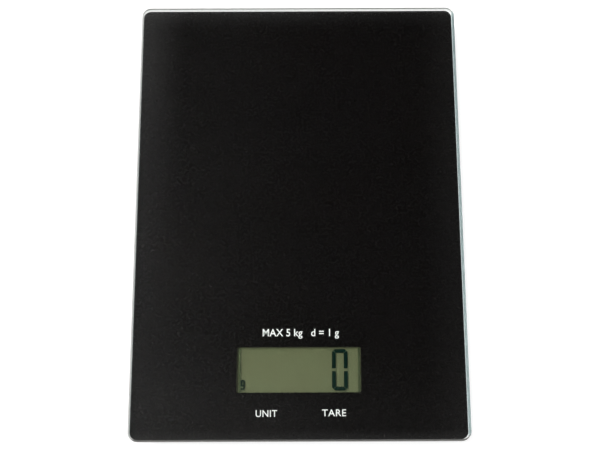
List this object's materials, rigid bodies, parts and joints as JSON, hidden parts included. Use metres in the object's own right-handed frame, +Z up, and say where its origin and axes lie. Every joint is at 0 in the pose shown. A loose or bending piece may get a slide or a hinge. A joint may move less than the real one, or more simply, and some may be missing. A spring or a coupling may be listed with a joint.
{
  "type": "electronic kitchen scale",
  "caption": "Slim rectangular electronic kitchen scale: a black-printed glass platform with an LCD window and touch keys, on a shallow casing with four feet and a coin cell.",
  "frame": {"origin": "on the table, under the centre of the glass plate", "axes": "+Z up, +Y to the rear (away from the display), +X to the user's right"},
  "size_m": [0.145, 0.2, 0.016],
  "materials": {
    "clear_glass": "polished toughened glass, faint green in the edge",
    "black_print": "opaque black fired ink, seen through the glass",
    "foam_tape": "acrylic foam tape",
    "black_foam": "closed-cell foam",
    "black_casing": "moulded ABS with a fine spark texture",
    "zinc_steel": "bright zinc plate",
    "label_film": "satin polyester film, blank",
    "green_board": "solder mask over glass laminate",
    "black_epoxy": "cast epoxy",
    "resistor_black": "glazed chip with tinned ends",
    "capacitor_tan": "fired ceramic with tinned ends",
    "crystal_can": "drawn nickel-plated can",
    "white_frame": "moulded, satin",
    "lcd_glass": "thin polished panes",
    "polarizer_film": "clear olive-grey film",
    "olive_reflector": "rear polarizer with diffuse reflector",
    "dark_olive_seal": "printed epoxy seal",
    "zebra_rubber": "striped conductive silicone",
    "gold_spring": "thin gold plate on spring wire",
    "load_cell_steel": "stamped, nickel-plated",
    "gauge_foil": "foil on amber film",
    "white_silicone": "poured sealant",
    "red_wire": "soft vinyl insulation",
    "white_wire": "soft vinyl insulation",
    "black_wire": "soft vinyl insulation",
    "nickel_contact": "nickel-plated spring strip",
    "pad_rubber": "soft non-slip rubber",
    "cell_steel": "drawn stainless steel",
    "cell_nylon": "moulded seal"
  },
  "bodies": {
    "housing": {"glass_platform": "clear_glass", "printed_mask": "black_print", "adhesive_tape": "foam_tape", "window_gasket": "black_foam", "chassis": "black_casing", "bottom_cover": "black_casing", "cover_screws": "zinc_steel", "rating_label": "label_film", "circuit_board": "green_board", "board_screws": "zinc_steel", "controller_blob": "black_epoxy", "chip_resistors": "resistor_black", "chip_capacitors": "capacitor_tan", "clock_crystal": "crystal_can", "lcd_frame": "white_frame", "lcd_front_polarizer": "polarizer_film", "lcd_front_glass": "lcd_glass", "lcd_seal": "dark_olive_seal", "lcd_rear_glass": "lcd_glass", "lcd_reflector": "olive_reflector", "zebra_strips": "zebra_rubber", "touch_spring_unit": "gold_spring", "touch_spring_tare": "gold_spring", "load_cell_front_left": "load_cell_steel", "load_cell_front_right": "load_cell_steel", "load_cell_rear_left": "load_cell_steel", "load_cell_rear_right": "load_cell_steel", "strain_gauges": "gauge_foil", "gauge_coatings": "white_silicone", "wires_red": "red_wire", "wires_white": "white_wire", "wires_black": "black_wire", "battery_lead_red": "red_wire", "battery_lead_black": "black_wire", "contact_negative": "nickel_contact", "contact_positive": "nickel_contact", "foot_front_left": "black_casing", "foot_front_right": "black_casing", "foot_rear_left": "black_casing", "foot_rear_right": "black_casing", "foot_pad_front_left": "pad_rubber", "foot_pad_front_right": "pad_rubber", "foot_pad_rear_left": "pad_rubber", "foot_pad_rear_right": "pad_rubber"},
    "battery_door": {"battery_door": "black_casing", "door_latch": "black_casing"},
    "coin_cell": {"cell_can": "cell_steel", "cell_gasket": "cell_nylon", "cell_cap": "cell_steel"}
  },
  "joints": [
    {"name": "battery_door_hinge", "type": "hinge", "parent": "housing", "child": "battery_door", "pos_m": [0, -0.036, 0.0034], "axis": [-1, 0, 0], "range_deg": [0, 100], "deforming": ["door_latch"]},
    {"name": "coin_cell_lift", "type": "slide", "parent": "housing", "child": "coin_cell", "axis": [0, 0, -1], "range_m": [0, 0.007]}
  ],
  "couplings": [
    {"joint": "coin_cell_lift", "follows": "battery_door_hinge", "m_per_rad": 0.004}
  ]
}
